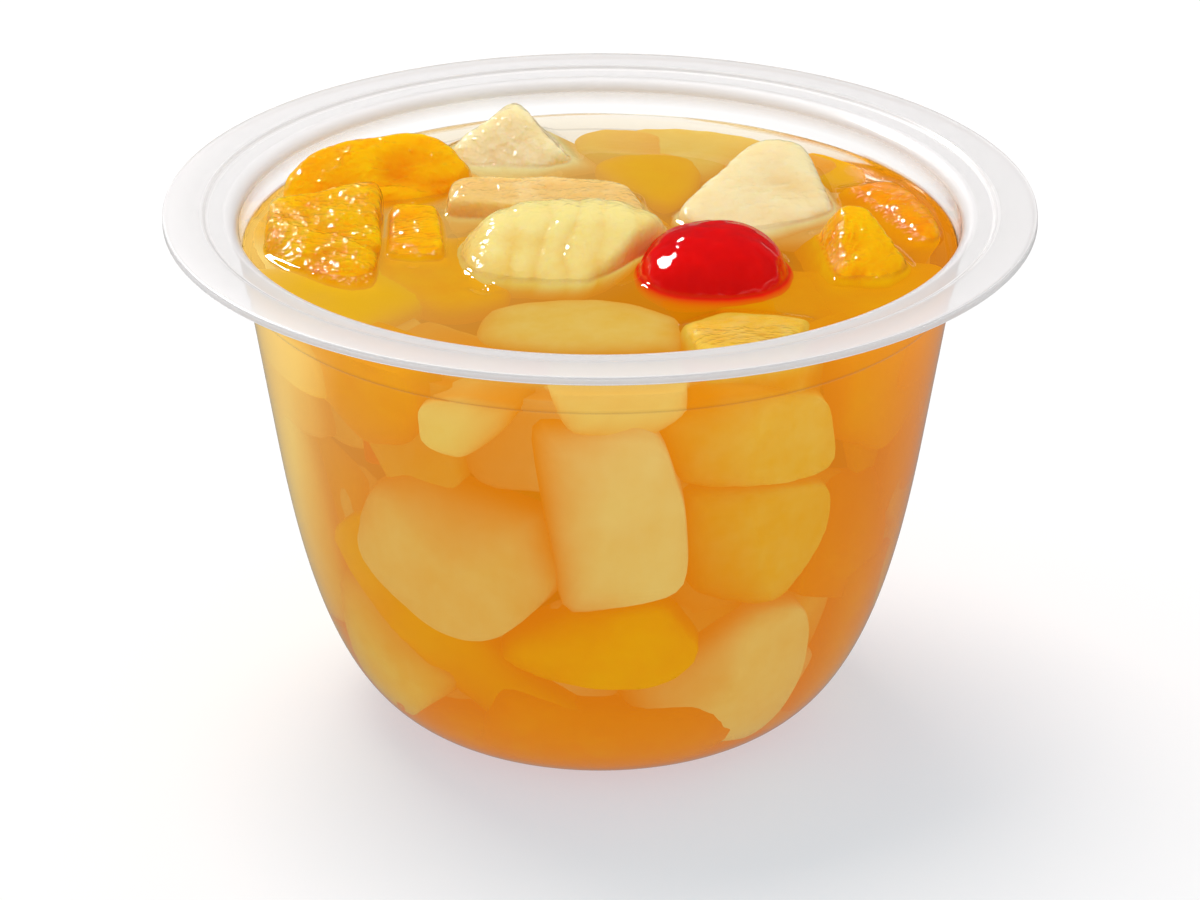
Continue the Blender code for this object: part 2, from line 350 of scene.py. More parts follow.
def clear_plastic():
    """Clear plastic: the thicker rim is greyer, shinier and a little milky; along its crests the milky white is
    stronger, a painted highlight for the bright lines that bends in clear plastic show. The inside of the wall
    vanishes where the syrup wets it, because the two bend light almost alike."""
    finish = Finish("clear_plastic")
    rim = finish.measure("rim")
    drawn = finish.noise(9.0, finish.place((1.0, 1.0, 0.25)), detail=1.0)
    ripple = finish.add("Bump", {"Strength": 0.10, "Distance": 0.4 * MM, "Height": drawn})
    # Painted shade: a thin dark line in the wall's colour along the stacking step, standing in for the dark line
    # that clear plastic shows where it bends the light.
    painted_step_line = finish.blend(finish.measure("step"), (0.955, 0.950, 0.945), (0.62, 0.58, 0.55))
    wall = finish.add("BsdfPrincipled", {
        "Base Color": painted_step_line, "Roughness": 0.03, "IOR": 1.38, "Transmission Weight": 1.0,
        "Specular Tint": (0.4, 0.4, 0.4), "Normal": ripple})
    edge = finish.add("BsdfPrincipled", {
        "Base Color": (0.885, 0.875, 0.87), "Roughness": 0.03, "IOR": 1.46, "Transmission Weight": 1.0,
        "Normal": ripple})
    glass = finish.add("MixShader", {0: rim, 1: wall, 2: edge})
    milky_and_crest_highlight = finish.add("BsdfPrincipled", {
        "Base Color": (0.90, 0.88, 0.875), "Roughness": 0.3, "Normal": ripple})
    milky = finish.add("MixShader", {0: rim * 0.24 + finish.measure("crest") * 0.6, 1: glass, 2: milky_and_crest_highlight})
    vanished = finish.add("BsdfTransparent", {"Color": (1.0, 1.0, 1.0)})
    wetted = finish.add("MixShader", {0: finish.measure("wetted"), 1: milky, 2: vanished})
    return finish.close(finish.lit_through(wetted, (0.96, 0.96, 0.96)))


roll_height = LEDGE_HEIGHT - LEDGE_ROUND
outside = wall_line(0.0, roll_height)
inside = wall_line(WALL, roll_height)
roll_centre = (inside[-1][0] + LEDGE_ROUND, roll_height)
slope_foot = RING_INNER_RADIUS - 0.55
under_roll = arc(roll_centre, LEDGE_ROUND - WALL, 180, 90, 12)
over_roll = arc(roll_centre, LEDGE_ROUND, 90, 180, 12)
rim_line = soften([
    under_roll[-1],
    (slope_foot, LEDGE_HEIGHT - WALL),
    (RING_INNER_RADIUS, HEIGHT - RING_THICK),
    (RIM_RADIUS - LIP_WIDE, HEIGHT - RING_THICK),
    (RIM_RADIUS - LIP_WIDE, HEIGHT - LIP_TALL),
    (RIM_RADIUS, HEIGHT - LIP_TALL),
    (RIM_RADIUS, HEIGHT),
    (RING_INNER_RADIUS, HEIGHT),
    (slope_foot, LEDGE_HEIGHT),
    over_roll[0],
], cut=0.22)
cup_line = np.vstack([
    (0.0, 0.0), outside, under_roll[:-1], rim_line, over_roll[1:], inside[-2::-1], (0.0, inside[0][1])])
cup_points, cup_faces = turned(cup_line, CUP_TURNS)
CONTACT = 54.35
rim = np.clip((cup_points[:, 2] - CONTACT - 1.2) / 1.5, 0.0, 1.0)
line_place = np.concatenate([np.tile(np.arange(len(cup_line) - 2), CUP_TURNS), (0, len(cup_line) - 1)])
wetted = (line_place > len(outside) + 20) & (cup_points[:, 2] < CONTACT)
bends = np.diff(np.unwrap(np.arctan2(*np.diff(cup_line, axis=0).T)))
# Crests are the rim's sharp bends, where the finish paints a milky white highlight.
crest = np.clip(np.abs(bends) / math.radians(14), 0.0, 1.0) * (cup_line[1:-1, 1] > roll_height + 0.3)
crest = np.concatenate([np.tile(crest, CUP_TURNS), (0.0, 0.0)])
# The step measure marks where that painted dark line runs.
step = np.exp(-((cup_points[:, 2] - STEP_HEIGHT - 0.1) / 0.16) ** 2)
lay_mesh("clear_cup", cup_points, cup_faces, clear_plastic(), ("cup",),
         {"rim": rim, "crest": crest, "wetted": wetted, "step": step}, sharp=50)


# ----------------------------------------------------------------------------------------------------------
# The fruit that stands out of the syrup: flesh trimmed by flat knife cuts, its edges worn round in the can.
# Each piece's surface lies, in every direction from its centre, where the nearest of its cuts and its round
# skin is met; the piece then gets its own relief: rough fibres, grit or the segments of a pineapple.

LEVEL = 53.6
BASE_HEIGHT = inside[0][1]
VEIL_REACH = 1.9
VEIL_REACH_FROM_ABOVE = 2.4
VEIL_REACH_OF_STANDING = 1.4
# Painted light: under the syrup the fruit, and the syrup's colour over it, glow by emission, standing in for the
# light scattered in the cloudy syrup.
VEIL_GLOW = 0.88
OWN_GLOW = 0.80
WATERLINE = LEVEL + 0.3
SOAK_REACH = 9.0
SURFACE_SOAK = 0.50
STANDING_STEPS = 54
SHADE_IN_HOLLOWS = 1.2


def heading(azimuth, elevation):
    """The unit vector at an azimuth and an elevation in degrees."""
    azimuth, elevation = np.radians(azimuth), np.radians(elevation)
    return np.stack([
        np.cos(elevation) * np.cos(azimuth), np.cos(elevation) * np.sin(azimuth), np.sin(elevation)], -1)


def ball_grid(steps):
    """Directions spread over a ball, and their faces: the six sides of a cube, each a grid of two numbers
    joined to its neighbours along their edges, with every number turned into an equal angle."""
    count = np.arange(-steps, steps + 1, 2)
    a, b = np.meshgrid(count, count, indexing="ij")
    side = np.full_like(a, steps)
    faces = [(side, a, b), (-side, b, a), (b, side, a), (a, -side, b), (a, b, side), (b, a, -side)]
    lattice = np.array([np.stack(face, -1) for face in faces]).reshape(-1, 3)
    corners, index = np.unique(lattice, axis=0, return_inverse=True)
    index = index.reshape(6, steps + 1, steps + 1)
    quads = np.stack([index[:, :-1, :-1], index[:, 1:, :-1], index[:, 1:, 1:], index[:, :-1, 1:]], -1)
    directions = np.tan(corners / steps * math.pi / 4)
    return directions / np.linalg.norm(directions, axis=1)[:, None], quads.reshape(-1, 4)


def reach(directions, cuts, skin=None, egg=None, hardness=15.0, fullness=2.25):
    """How far the flesh goes in each direction: each knife cut is met at its distance over the cosine to it,
    a skin ball or an egg at its own surface, and a high power mean picks the nearest with a soft edge. An
    egg's fullness is the power that joins its three axes: 2 is a plain egg, and more is squarer."""
    facing = heading(*np.array([cut[:2] for cut in cuts], float).T)
    distances = np.array([cut[2] for cut in cuts], float)
    nearness = (np.maximum(directions @ facing.T, 0.0) / distances) ** hardness
    total = nearness.sum(1)
    if egg is not None:
        total += (np.abs(directions / np.array(egg)) ** fullness).sum(1) ** (hardness / fullness)
    if skin is not None:
        azimuth, elevation, distance, radius = skin
        middle = heading(azimuth, elevation) * (distance - radius)
        along = directions @ middle
        total += (along + np.sqrt(np.maximum(along**2 - middle @ middle + radius**2, 0.01))) ** -hardness
    return total ** (-1.0 / hardness)


def ripples(points, size, seed, along=None, stretch=1.0, count=48):
    """Even, lumpy relief of about unit height: many plane waves of about one size in random directions, with
    longer waves along the grain where a grain direction and a stretch are given."""
    chance = np.random.default_rng(seed)
    waves = chance.normal(size=(count, 3))
    waves /= np.linalg.norm(waves, axis=1)[:, None]
    if along is not None:
        along = np.asarray(along) / np.linalg.norm(along)
        waves -= np.outer(waves @ along, along) * (1 - 1 / stretch)
    waves *= math.tau / (size * chance.uniform(0.7, 1.6, count))[:, None]
    phases = chance.uniform(0.0, math.tau, count)
    return np.cos(points @ waves.T + phases).sum(1) * math.sqrt(2 / count)


def under_syrup(points, from_above=VEIL_REACH_FROM_ABOVE):
    """Measures at points in millimetres. The veil is what cloudy syrup hides, one less the fall-off with the
    depth behind the wall or under the surface, whichever is nearer, and more in painted bands of light by the
    side walls. The soak is how amber the light has become on its way down. Sunk is 1 under the surface. Pale
    is painted light in the syrup's colour: paler towards the back and the left, where the light comes through,
    less so further down, and most in the bands by the side walls. Lit is how bright the painted light is that
    reaches a point: more by the wall, under the surface and at the left."""
    line = wall_line(WALL, LEVEL)
    behind_wall = np.interp(points[:, 2], line[:, 1], line[:, 0]) - np.hypot(points[:, 0], points[:, 1])
    below = np.maximum(LEVEL - points[:, 2], 0.0)
    by_wall = np.exp(-np.maximum(behind_wall, 0.0) / 4.0)
    by_wall_below = by_wall * np.clip(below / 3.0, 0.0, 1.0)
    # Painted light: bands by the left and right walls, where light shines through the syrup, are drawn more
    # veiled, paler and brighter.
    left = np.clip((-27.0 - points[:, 0]) / 7.0, 0.0, 1.0) * by_wall_below
    right = np.clip((points[:, 0] - 27.0) / 7.0, 0.0, 1.0) * by_wall_below
    hidden = np.minimum(np.maximum(behind_wall, 0.0) / VEIL_REACH, below / from_above) + 2.5 * (left + right)
    sunk = np.clip((WATERLINE - points[:, 2]) * 3.0, 0.0, 1.0)
    soak = sunk * (1.0 - (1.0 - SURFACE_SOAK) * np.exp(-below / SOAK_REACH))
    pale = 0.20 - 0.016 * points[:, 0] + 0.012 * points[:, 1] - 0.008 * below + 0.8 * left + 0.2 * right
    lit = 1.0 + 0.22 * by_wall * np.exp(-below / 14.0) + 0.28 * left + 0.10 * right + 0.08 * np.exp(-below / 2.0)
    pale = np.clip(pale, 0.0, 1.0)
    return {"veil": 1.0 - np.exp(-hidden), "soak": soak, "sunk": sunk, "pale": pale, "lit": lit}


def fibres(points, seed, grain):
    """Torn, wet fibres: sharp-crested ripples along the grain, over a softer unevenness."""
    fine = ripples(points, 0.8, seed, grain, 4.0)
    coarse = ripples(points, 2.6, seed + 1, grain, 2.0)
    return 0.045 * (0.8 - np.abs(fine)) + 0.06 * coarse + 0.10 * ripples(points, 6.0, seed + 2)


def grit(points, seed, grain):
    """Smooth flesh, faintly streaked along its grain, with fine grit cells and a few shallow dents."""
    streaks = ripples(points, 1.3, seed + 1, grain, 4.0)
    return 0.012 * ripples(points, 0.6, seed) + 0.03 * streaks + 0.10 * ripples(points, 6.5, seed + 2)


def segments(points, seed, grain):
    """A pineapple's segments: rounded ridges side by side along the grain, wandering a little, with a sharp
    groove between each two and threads of fibre along them."""
    across = np.cross(grain, (0.0, 1.0, 0.0))
    place = points @ across / np.linalg.norm(across) + 0.35 * ripples(points, 8.0, seed)
    ridges = np.abs(np.sin(math.pi * place / 3.3)) - 0.6
    threads = ripples(points, 0.9, seed + 1, grain, 7.0)
    return 0.22 * ridges + 0.015 * threads + 0.05 * ripples(points, 7.0, seed + 2)


def smooth(points, seed, grain):
    """A preserved cherry's skin: tight, with faint puckers."""
    return 0.05 * ripples(points, 3.2, seed) + 0.016 * ripples(points, 1.4, seed + 1, (0, 0, 1), 3.0)


# A piece's deeper is painted shade: its tone grows by that much for each millimetre below its top, so it is
# riper and darker lower down; the cherry's is negative, which paints its lower side brighter.
STANDING = {
    "peach_slice_back_left": {
        "kind": "peach", "centre": (-25.5, 16.8, 52.0), "skin": (112, 15, 7.4, 30.0), "grain": (1, 0.35, 0.1),
        "cuts": [(285, 66, 3.6), (292, -5, 5.6), (203, 32, 12.7), (195, -11, 11.4), (162, -12, 8.2),
                 (147, -12, 7.4), (132, -12, 7.6), (12, 42, 10.7), (37, 0, 11.4), (325, -5, 8.0),
                 (0, -90, 4.5)],
        "relief": 0.9, "torn": 0.7, "tone": 0.12, "deeper": 0.12},
    "peach_chunk_left": {
        "kind": "peach", "centre": (-30.5, -1.5, 51.5), "grain": (1, -0.5, 0.2),
        "cuts": [(270, 78, 4.3), (0, 0, 6.2), (112, 0, 9.0), (180, 10, 7.0), (190, -20, 5.5), (221, 32, 5.7),
                 (235, -10, 8.0), (285, 0, 11.5), (0, -90, 4.5)],
        "relief": 1.2, "torn": 1.2, "tone": 0.25, "deeper": 0.04},
    "peach_chunk_small": {
        "kind": "peach", "centre": (-20.4, 3.4, 50.0), "grain": (1, 0.2, 0),
        "cuts": [(250, 86, 4.4), (5, 0, 2.8), (90, 0, 7.4), (180, 0, 3.1), (265, 0, 7.0), (0, -90, 4.0)],
        "relief": 0.8, "torn": 0.5, "tone": 0.35},
    "pear_chunk_back": {
        "kind": "pear", "centre": (-9.8, 28.5, 52.5), "grain": (0.2, 0.1, 1),
        "cuts": [(262, 52, 3.9), (20, 38, 5.1), (148, 40, 5.9), (0, 90, 6.1), (108, -12, 6.0), (217, 0, 7.4),
                 (300, 0, 6.0), (0, -90, 4.0)],
        "relief": 1.2, "torn": 1.2, "tone": 0.0},
    "pear_slab_middle": {
        "kind": "pear", "centre": (-6.5, 11.8, 51.5), "grain": (1, 0, 0),
        "cuts": [(292, 84, 4.4), (267, 2, 4.0), (92, 20, 5.0), (60, 20, 8.2), (185, -4, 10.6), (145, -5, 9.5),
                 (10, 15, 11.3), (0, -90, 4.5)],
        "relief": 1.2, "torn": 0.9, "tone": 0.95},
    "pineapple_tidbit": {
        "kind": "pineapple", "centre": (-3.0, -2.2, 51.0), "egg": (12.7, 11.2, 8.6), "grain": (0.25, 0.45, 1),
        "cuts": [(270, 70, 5.9), (92, 0, 8.3), (0, 90, 7.3), (325, 0, 6.7), (265, 0, 9.8), (0, -90, 4.0)],
        "relief": 1.0, "torn": 0.5, "tone": 0.0, "deeper": 0.12},
    "pear_chunk_right": {
        "kind": "pear", "centre": (18.0, 12.5, 51.5), "grain": (-0.7, -0.6, 0.4),
        "cuts": [(287, 75, 4.4), (150, 19, 6.9), (9, 25, 8.5), (10, 0, 8.6), (95, 15, 11.2), (52, 5, 14.5),
                 (311, 5, 7.8), (303, 0, 8.5), (262, 0, 9.4), (215, 0, 10.4), (0, -90, 5.0)],
        "relief": 0.8, "torn": 0.4, "tone": 0.15},
    "cherry_half": {
        "kind": "cherry", "centre": (12.4, -7.2, 52.0), "egg": (8.3, 8.1, 6.9), "grain": (0, 0, 1),
        "cuts": [(0, -90, 4.0)],
        "relief": 1.0, "torn": 0.3, "tone": 0.9, "deeper": -0.12},
    "peach_chunk_right": {
        "kind": "peach", "centre": (28.2, -3.0, 51.5), "grain": (0.3, 1, 0.2),
        "cuts": [(280, 74, 4.4), (22, 15, 4.7), (27, -5, 4.5), (100, 15, 7.6), (123, 0, 9.3), (188, 30, 4.2),
                 (262, 10, 7.5), (330, 0, 6.6), (0, -90, 4.5)],
        "relief": 0.9, "torn": 0.6, "tone": 0.25},
    "peach_slice_far_right": {
        "kind": "peach", "centre": (31.4, 9.2, 50.4), "skin": (15, -14, 4.8, 32.0), "grain": (0.3, 1, 0),
        "cuts": [(205, 62, 2.9), (0, 90, 4.3), (207, 0, 3.2), (190, 0, 3.5), (110, 5, 9.0), (292, 5, 10.0),
                 (0, -90, 4.0)],
        "relief": 0.5, "torn": 0.35, "tone": 0.85},
    "pineapple_front": {
        "kind": "pineapple", "centre": (15.6, -24.7, 50.0), "grain": (0.2, 1, 0.2),
        "cuts": [(100, 82, 4.3), (75, 0, 5.6), (350, 5, 6.2), (190, 10, 6.8), (275, 0, 6.5), (130, 0, 6.3),
                 (0, -90, 3.2)],
        "relief": 0.6, "torn": 0.7, "tone": 1.0},
}
RELIEF = {"peach": fibres, "pear": grit, "pineapple": segments, "cherry": smooth}
SYRUP_AMBER = (0.84, 0.34, 0.003)
SYRUP_DEEP = (0.74, 0.22, 0.001)
SYRUP_PALE = (0.84, 0.58, 0.17)
SOAKED = (1.06, 1.06, 0.60)


def syrup_colour(finish, soak):
    """Cloudy syrup's colour: amber, deeper where the light is soaked up, and straw where it is pale."""
    amber = finish.blend(soak, SYRUP_AMBER, SYRUP_DEEP)
    return finish.blend(finish.measure("pale"), amber, SYRUP_PALE)


def fruit_finish(kind, fresh, ripe, glow, scatter, size, stretch, streaked, wet, cell, lift, coat=0.0):
    """Wet flesh: its colour wanders between a fresh and a ripe one in soft patches and streaks, light soaks
    in and comes out glowing, and fine cells break up the wet shine. Under the syrup it has no shine, takes up
    amber light, and is veiled by the syrup's own colour; there its light is painted, an emission of its soaked
    colour and the syrup's own that stands in for the light scattered in the cloudy syrup."""
    finish = Finish(kind)
    patches = finish.noise(size, detail=3.0) * 0.6 - 0.30
    streaks = finish.noise(1.6, finish.place(stretch), detail=3.0) * streaked - streaked / 2
    tone = finish.measure("tone") + patches + streaks
    cells = finish.noise(cell, detail=1.0, roughness=0.5) ** 3.0
    colour = finish.blend(tone, fresh, ripe)
    pale = finish.blend(finish.noise(1.2, detail=2.0) * 0.2, colour, glow)
    torn = finish.measure("torn")
    bumps = finish.add("Bump", {"Strength": 1.0, "Distance": lift * MM, "Height": cells * torn})
    standing = finish.add("BsdfPrincipled", {
        "Base Color": pale, "Roughness": wet, "IOR": 1.46, "Normal": bumps,
        "Coat Weight": coat, "Coat Roughness": 0.04, "Coat IOR": 1.45,
        "Subsurface Weight": 1.0, "Subsurface Radius": scatter, "Subsurface Scale": 4.0 * MM})
    soak = finish.measure("soak")
    tint = finish.blend(soak, (1.0, 1.0, 1.0), SOAKED)
    soaked = finish.add("Mix", {0: 1.0, 6: pale, 7: tint}, out=2, data_type="RGBA", blend_type="MULTIPLY")
    hidden = finish.measure("veil")
    syrup = syrup_colour(finish, soak)
    black = (0.0, 0.0, 0.0)
    lit = finish.blend(hidden, soaked, finish.blend(0.5, syrup, black))
    # Painted glow: emission of the soaked colour, veiled into the syrup's colour and scaled by the lit measure.
    glowing = finish.blend(hidden, finish.blend(1.0 - OWN_GLOW, soaked, black), syrup)
    under = finish.add("BsdfPrincipled", {
        "Base Color": finish.blend(0.80, lit, black), "Roughness": 0.6, "Specular IOR Level": 0.0,
        "Emission Color": finish.scale(glowing, finish.measure("lit")), "Emission Strength": VEIL_GLOW})
    return finish.close(finish.add("MixShader", {0: finish.measure("sunk"), 1: standing, 2: under}))


FLESH = {
    "peach": fruit_finish(
        "peach_flesh", (0.86, 0.47, 0.002), (0.82, 0.24, 0.001), (0.88, 0.56, 0.01), (1.0, 0.5, 0.08),
        5.0, (1.0, 0.4, 1.0), 0.2, 0.05, 1.1, 0.75),
    "pear": fruit_finish(
        "pear_flesh", (0.84, 0.72, 0.42), (0.78, 0.50, 0.15), (0.87, 0.77, 0.50), (1.0, 0.8, 0.5),
        4.0, (1.0, 1.0, 0.4), 0.25, 0.06, 0.9, 0.4),
    "pineapple": fruit_finish(
        "pineapple_flesh", (0.83, 0.70, 0.27), (0.79, 0.46, 0.02), (0.88, 0.80, 0.44), (1.0, 0.8, 0.3),
        3.5, (1.0, 0.6, 0.2), 0.3, 0.06, 1.0, 0.45),
    "cherry": fruit_finish(
        "cherry_flesh", (0.92, 0.008, 0.005), (0.62, 0.001, 0.003), (0.78, 0.006, 0.006), (1.0, 0.08, 0.03),
        6.0, (1.0, 1.0, 1.0), 0.3, 0.04, 2.4, 0.25, 0.35),
}
standing_directions, standing_faces = ball_grid(STANDING_STEPS)
for seed, (name, fruit) in enumerate(STANDING.items()):
    centre = np.array(fruit["centre"])
    far = reach(standing_directions, fruit["cuts"], fruit.get("skin"), fruit.get("egg"), 11.0)
    plain = centre + standing_directions * far[:, None]
    relief = RELIEF[fruit["kind"]](plain, 10 * seed, fruit["grain"]) * fruit["relief"]
    points = plain + standing_directions * relief[:, None]
    below_top = points[:, 2].max() - points[:, 2]
    # Painted shade: the tone goes riper and darker lower on the piece by its deeper, and in the hollows of its
    # relief.
    tone = fruit["tone"] + fruit.get("deeper", 0.0) * below_top - SHADE_IN_HOLLOWS * relief
    torn = np.full(len(points), fruit["torn"])
    measures = {"tone": tone, "torn": torn, **under_syrup(points, VEIL_REACH_OF_STANDING)}
    lay_mesh(name, points, standing_faces.tolist(), FLESH[fruit["kind"]], (name,), measures)


# ----------------------------------------------------------------------------------------------------------
# The fruit under the syrup: pieces pressed against the cup's wall, and pieces just under the surface. They
# are cut as the others are. What would cross the wall or the surface is pressed flat a little inside it.

SUNK_STEPS = 16
PRESSED = 0.25
SUNK_THICK = 8.0
EDGE_FADE = 1.5

# Pressed to the wall, in millimetres and degrees: kind, azimuth, height, depth behind the wall, tone, the
# side that leans in and how steeply, and cuts. A side's or cut's angle is measured on the wall, from
# anticlockwise round the cup towards up.
AT_WALL = [
    ("pineapple", -112, 48.3, 0.6, -0.1, (0, 0.15),
     [(117, 3.0), (85, 3.2), (-22, 4.5), (-50, 3.5), (-105, 5.5), (177, 5.5)]),
    ("peach", -132, 47.0, 1.2, 0.6, (-90, 0.22),
     [(100, 6.5), (40, 8.0), (-20, 6.5), (-70, 5.5), (-130, 6.0), (-145, 7.5)]),
    ("cherry", -131, 41.0, 3.2, 0.5, (0, 0.0), [(100, 2.0), (-30, 2.5), (-80, 2.2), (175, 3.0)]),
    ("pear", -118, 29.7, 0.9, 0.7, (75, 0.14),
     [(122, 11.0), (74, 10.5), (5, 12.0), (-45, 10.0), (-91, 10.5), (-124, 10.0), (162, 11.5)]),
    ("pear", -88, 37.7, 0.4, 0.4, (175, 0.14), [(93, 11.5), (20, 8.0), (1, 8.0), (-76, 12.0), (-172, 7.0)]),
    ("pineapple", -86, 50.0, 0.8, -0.2, (-90, 0.1),
     [(92, 3.5), (10, 6.5), (-58, 4.0), (-100, 3.5), (-161, 6.5)]),
    ("pineapple", -64, 44.6, 0.6, 0.85, (170, 0.16),
     [(109, 8.0), (73, 6.5), (14, 9.5), (-88, 6.0), (-100, 5.5), (-161, 8.5)]),
    ("pineapple", -62, 31.8, 0.9, 0.95, (200, 0.22),
     [(80, 7.0), (8, 10.0), (-39, 8.5), (-109, 7.5), (-165, 7.5), (180, 8.0)]),
    ("peach", -38, 27.5, 1.2, 0.95, (90, 0.25), [(75, 9.0), (18, 7.0), (-30, 9.0), (-110, 6.5), (167, 6.5)]),
    ("peach", -36, 45.5, 0.6, 0.5, (180, 0.10), [(85, 6.0), (10, 9.0), (-60, 8.0), (-120, 6.0), (175, 7.0)]),
    ("peach", -91, 19.7, 0.4, 0.25, (130, 0.16),
     [(126, 6.5), (94, 6.0), (29, 9.5), (-52, 8.5), (-90, 5.0), (-109, 5.5), (158, 9.0)]),
    ("peach", -121, 18.0, 1.3, 0.2, (-45, 0.10), [(47, 4.6), (-45, 15.0), (-133, 5.0), (135, 17.0)]),
    ("peach", -130, 5.0, 0.9, 1.0, (90, 0.20), [(95, 3.5), (10, 8.0), (-85, 5.0), (180, 8.0)]),
    ("peach", -92, 7.0, 0.5, 1.0, (90, 0.15),
     [(80, 5.5), (30, 12.0), (-60, 12.0), (-90, 6.0), (-130, 11.0), (160, 11.0)]),
    ("pear", -62, 14.2, 0.7, 0.6, (170, 0.22),
     [(122, 7.5), (75, 9.5), (10, 9.5), (-26, 11.0), (-102, 10.0), (-153, 11.0)]),
    ("pineapple", -138, 12.5, 0.9, 0.6, (60, 0.20),
     [(100, 12.0), (37, 8.0), (-51, 6.0), (-110, 9.0), (170, 8.0)]),
    ("pineapple", -158, 27.0, 0.5, 0.7, (0, 0.25), [(90, 14.0), (10, 6.0), (-80, 13.0), (180, 7.0)]),
    ("peach", -158, 46.0, 0.5, 0.7, (0, 0.20), [(90, 7.0), (10, 7.0), (-80, 8.0), (180, 7.0)]),
    ("peach", -20, 38.0, 0.4, 0.7, (180, 0.20), [(90, 12.0), (10, 7.0), (-80, 9.0), (180, 6.0)]),
    ("peach", -28, 14.0, 0.4, 0.8, (180, 0.20), [(90, 10.0), (10, 8.0), (-80, 9.0), (180, 6.0)]),
]
# Just under the surface: kind, X, Y, top's depth, thickness, tone, and cuts seen from above.
UNDER_SURFACE = [
    ("peach", -18.0, -4.5, 0.45, 8, 0.45, [(178, 10.0), (90, 9.0), (9, 7.5), (301, 13.0), (224, 9.0)]),
    ("peach", -9.4, 29.0, 0.8, 6, 0.6, [(94, 3.0), (0, 5.5), (270, 3.0), (187, 5.5)]),
    ("peach", 6.2, 22.5, 0.7, 8, 0.1, [(138, 8.5), (76, 8.0), (1, 5.5), (337, 6.0), (242, 7.5), (206, 5.0)]),
    ("pineapple", 10.5, 32.0, 1.0, 8, 0.45,
     [(152, 9.5), (95, 8.0), (60, 9.0), (325, 7.0), (248, 8.0), (196, 10.5)]),
    ("peach", 26.5, 24.0, 0.8, 7, 0.1, [(60, 6.0), (353, 4.0), (285, 6.0), (188, 4.0), (120, 7.0)]),
    ("pineapple", -1.8, -20.5, 0.6, 8, 0.55,
     [(169, 11.0), (99, 7.5), (58, 8.0), (359, 11.0), (276, 8.0), (247, 9.0)]),
    ("peach", -29.0, -12.5, 0.4, 8, -0.3, [(30, 10.0), (100, 9.0), (200, 11.0), (260, 11.0), (320, 10.0)]),
    ("peach", -33.0, 9.0, 0.4, 8, 0.4, [(20, 8.0), (100, 9.0), (200, 9.0), (260, 9.0), (320, 8.0)]),
    ("peach", -1.0, 6.5, 1.6, 8, 0.4, [(0, 9.0), (90, 5.0), (180, 9.0), (270, 5.0)]),
    ("peach", 20.5, -13.5, 1.5, 8, 0.6, [(20, 9.0), (100, 9.0), (190, 8.0), (280, 7.0)]),
    ("peach", 31.0, -11.0, 1.0, 8, 0.5, [(20, 9.0), (100, 8.0), (190, 8.0), (280, 9.0)]),
    ("peach", -12.5, 20.0, 1.6, 8, 0.5, [(10, 8.0), (95, 5.0), (185, 8.0), (275, 5.0)]),
    ("pear", 24.0, 12.0, 1.8, 8, 0.6, [(10, 9.0), (95, 9.0), (185, 8.0), (275, 9.0)]),
]

sunk_directions, sunk_faces = ball_grid(SUNK_STEPS)
wall_inside = wall_line(WALL, LEVEL)


def wall_radius(heights):
    """The radius of the wall's inside at each height."""
    return np.interp(heights, wall_inside[:, 1], wall_inside[:, 0])


def press(points, depth):
    """Points that would come nearer than a depth to the wall, the surface or the base are pushed back in."""
    pressed = points.copy()
    pressed[:, 2] = np.clip(pressed[:, 2], BASE_HEIGHT + depth, LEVEL - depth)
    radius = np.hypot(pressed[:, 0], pressed[:, 1])
    allowed = wall_radius(pressed[:, 2]) - depth
    pressed[:, :2] *= np.minimum(1.0, allowed / np.maximum(radius, 0.001))[:, None]
    return pressed


def to_side(own, cuts):
    """How far each of a piece's own points is from the nearest of its side cuts."""
    angles, distances = np.array(cuts, float).T
    return (distances - own @ heading(angles, 0.0 * angles).T).min(1)


def wall_piece(azimuth, height, depth, lean, cuts, hardness=8.0):
    """A piece behind the wall: its cuts run square to the wall, its outer face lies at its depth behind the
    wall, sheared inwards on the side that leans in, and its own axes are round the cup, up the wall and
    outwards. The fade is how much the cloudy syrup laps over each point near a side: an exponential of the
    distance to the side, further and more on the side that leans in."""
    flare = math.atan(wall_radius(height + 0.5) - wall_radius(height - 0.5))
    out_flat = heading(azimuth, 0.0)
    round_cup = heading(azimuth + 90.0, 0.0)
    up = out_flat * math.sin(flare) + np.array([0.0, 0.0, math.cos(flare)])
    out = out_flat * math.cos(flare) - np.array([0.0, 0.0, math.sin(flare)])
    face = out_flat * wall_radius(height) + np.array([0.0, 0.0, height])
    centre = face - out * (depth + SUNK_THICK / 2)
    own_cuts = [(angle, 0.0, distance) for angle, distance in cuts]
    own_cuts += [(0.0, 90.0, SUNK_THICK / 2), (0.0, -90.0, SUNK_THICK / 2)]
    own = sunk_directions * reach(sunk_directions, own_cuts, hardness=hardness)[:, None]
    inwards = own @ heading(lean[0], 0.0)
    fade_reach = EDGE_FADE * np.clip(1.0 + 0.15 * inwards, 0.5, 2.5)
    fade = np.exp(-np.maximum(to_side(own, cuts), 0.0) / fade_reach)
    fade *= np.clip(0.5 + 0.07 * inwards, 0.1, 0.95)
    own[:, 2] -= lean[1] * inwards
    return press(centre + own @ np.array([round_cup, up, out]), PRESSED + 0.6 * depth), fade


